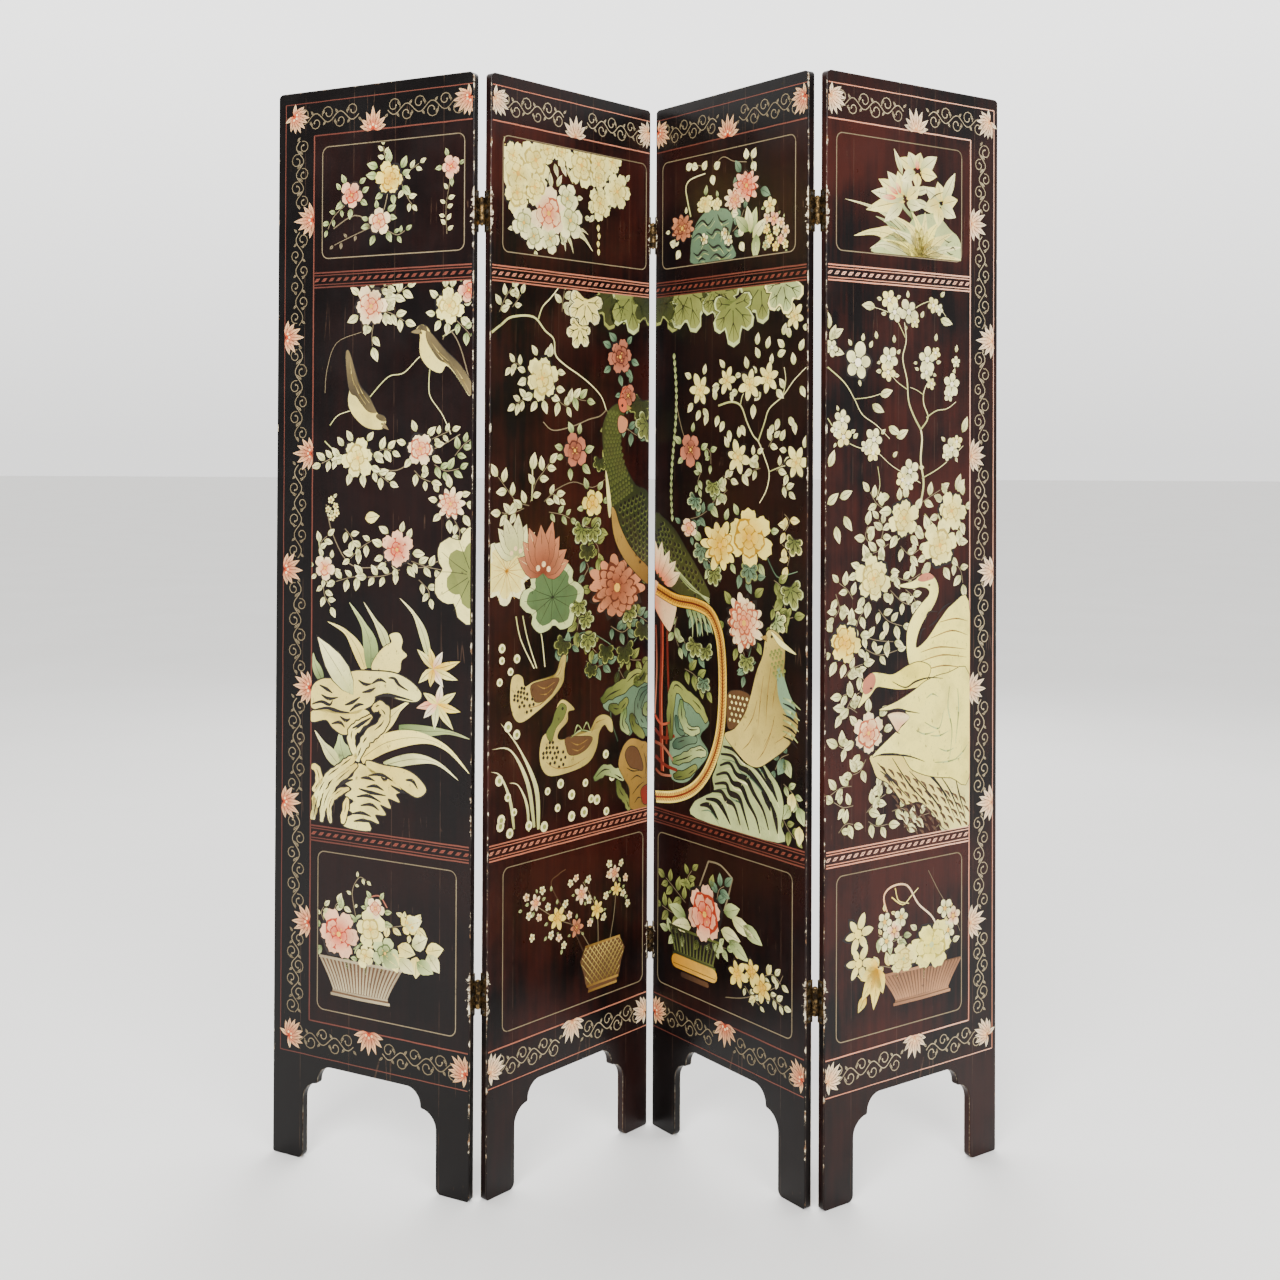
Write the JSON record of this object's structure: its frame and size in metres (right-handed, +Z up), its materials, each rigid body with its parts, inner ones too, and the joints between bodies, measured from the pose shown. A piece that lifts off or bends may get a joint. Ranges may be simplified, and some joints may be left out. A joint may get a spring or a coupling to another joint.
{
  "type": "folding screen",
  "caption": "Folding screen of hinged, framed panels with a flower-and-bird lacquered ground, bordered fields and cusped bracket feet; it folds flat or shut like an accordion.",
  "frame": {"origin": "on the floor, at the middle of the standing screen's plan box", "axes": "+Z up, the decorated fronts face -Y, the run of panels goes along +X"},
  "size_m": [1.2534, 0.3424, 1.83],
  "materials": {
    "lacquered_board": "brown-black lacquer over wood, worn at the edges",
    "lacquered_ground": "satin brown-black lacquer over a filled ground, fine cracks, incised and coloured ornament",
    "hinge_leaf": "dark aged brass",
    "hinge_pin": "rubbed aged brass",
    "screw_metal": "darkened steel"
  },
  "bodies": {
    "panel_1": {"panel_1_left_stile": "lacquered_board", "panel_1_right_stile": "lacquered_board", "panel_1_top_rail": "lacquered_board", "panel_1_apron": "lacquered_board", "panel_1_left_plank": "lacquered_board", "panel_1_middle_plank": "lacquered_board", "panel_1_right_plank": "lacquered_board", "panel_1_front_ground": "lacquered_ground", "panel_1_back_ground": "lacquered_ground", "panel_1_screws": "screw_metal", "hinge_12_upper_left_leaf": "hinge_leaf", "hinge_12_upper_pin": "hinge_pin", "hinge_12_lower_left_leaf": "hinge_leaf", "hinge_12_lower_pin": "hinge_pin"},
    "panel_2": {"panel_2_left_stile": "lacquered_board", "panel_2_right_stile": "lacquered_board", "panel_2_top_rail": "lacquered_board", "panel_2_apron": "lacquered_board", "panel_2_left_plank": "lacquered_board", "panel_2_middle_plank": "lacquered_board", "panel_2_right_plank": "lacquered_board", "panel_2_front_ground": "lacquered_ground", "panel_2_back_ground": "lacquered_ground", "panel_2_screws": "screw_metal", "hinge_12_upper_right_leaf": "hinge_leaf", "hinge_12_lower_right_leaf": "hinge_leaf", "hinge_23_upper_left_leaf": "hinge_leaf", "hinge_23_upper_pin": "hinge_pin", "hinge_23_lower_left_leaf": "hinge_leaf", "hinge_23_lower_pin": "hinge_pin"},
    "panel_3": {"panel_3_left_stile": "lacquered_board", "panel_3_right_stile": "lacquered_board", "panel_3_top_rail": "lacquered_board", "panel_3_apron": "lacquered_board", "panel_3_left_plank": "lacquered_board", "panel_3_middle_plank": "lacquered_board", "panel_3_right_plank": "lacquered_board", "panel_3_front_ground": "lacquered_ground", "panel_3_back_ground": "lacquered_ground", "panel_3_screws": "screw_metal", "hinge_23_upper_right_leaf": "hinge_leaf", "hinge_23_lower_right_leaf": "hinge_leaf", "hinge_34_upper_left_leaf": "hinge_leaf", "hinge_34_upper_pin": "hinge_pin", "hinge_34_lower_left_leaf": "hinge_leaf", "hinge_34_lower_pin": "hinge_pin"},
    "panel_4": {"panel_4_left_stile": "lacquered_board", "panel_4_right_stile": "lacquered_board", "panel_4_top_rail": "lacquered_board", "panel_4_apron": "lacquered_board", "panel_4_left_plank": "lacquered_board", "panel_4_middle_plank": "lacquered_board", "panel_4_right_plank": "lacquered_board", "panel_4_front_ground": "lacquered_ground", "panel_4_back_ground": "lacquered_ground", "panel_4_screws": "screw_metal", "hinge_34_upper_right_leaf": "hinge_leaf", "hinge_34_lower_right_leaf": "hinge_leaf"}
  },
  "joints": [
    {"name": "fold_12", "type": "hinge", "parent": "panel_1", "child": "panel_2", "pos_m": [-0.25989, -0.13439, 0.332], "axis": [0, 0, 1], "range_deg": [-77, 103]},
    {"name": "fold_23", "type": "hinge", "parent": "panel_2", "child": "panel_3", "pos_m": [0.02804, 0.16631, 0.332], "axis": [0, 0, -1], "range_deg": [-103, 77]},
    {"name": "fold_34", "type": "hinge", "parent": "panel_3", "child": "panel_4", "pos_m": [0.28296, -0.16284, 0.332], "axis": [0, 0, 1], "range_deg": [-89.5, 90.5]}
  ]
}
